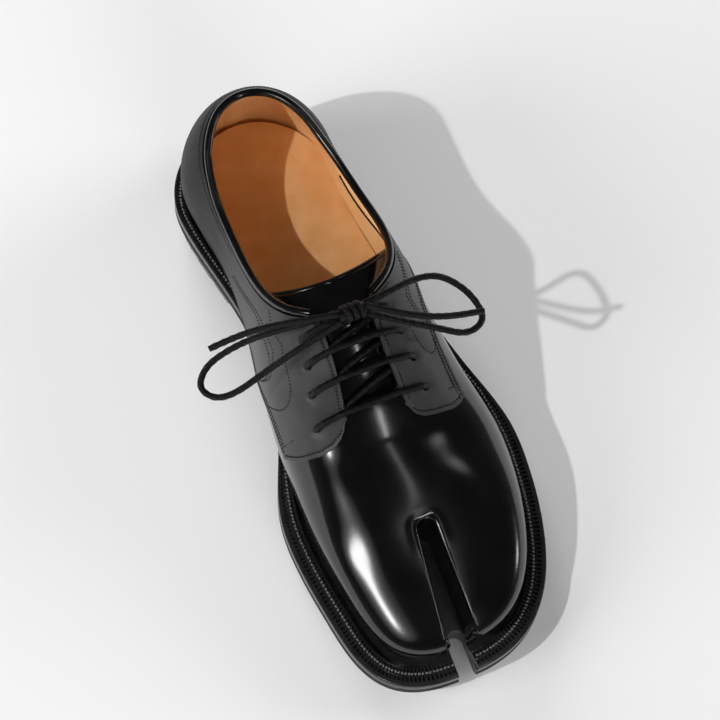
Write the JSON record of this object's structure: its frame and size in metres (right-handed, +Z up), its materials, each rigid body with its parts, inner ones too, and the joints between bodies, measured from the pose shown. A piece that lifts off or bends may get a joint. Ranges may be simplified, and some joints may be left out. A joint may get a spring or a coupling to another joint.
{
  "type": "split toe derby shoe",
  "caption": "Left split toe lace-up derby shoe: hollow polished upper with a cleft toe, tongue, tied bow, insole, welt and lugged rubber sole.",
  "frame": {"origin": "middle of the sole's outline, on the plane the shoe stands on", "axes": "+Z up, toe towards -Y, outer (lateral) side towards +X"},
  "size_m": [0.1357, 0.2898, 0.1044],
  "materials": {
    "polished_leather": "high polish",
    "tan_leather": "smooth, satin",
    "rubber": "satin",
    "waxed_lace": "waxed braid"
  },
  "bodies": {
    "root": {"outsole": "rubber", "midsole": "rubber", "welt": "rubber", "upper": "polished_leather", "quarter_lateral": "polished_leather", "quarter_medial": "polished_leather", "collar_binding": "polished_leather", "tongue": "polished_leather", "insole": "tan_leather", "lace_bars": "waxed_lace", "lace_knot": "waxed_lace", "lace_loop_medial": "waxed_lace", "lace_loop_lateral": "waxed_lace", "lace_end_medial": "waxed_lace", "lace_end_lateral": "waxed_lace"}
  },
  "joints": []
}
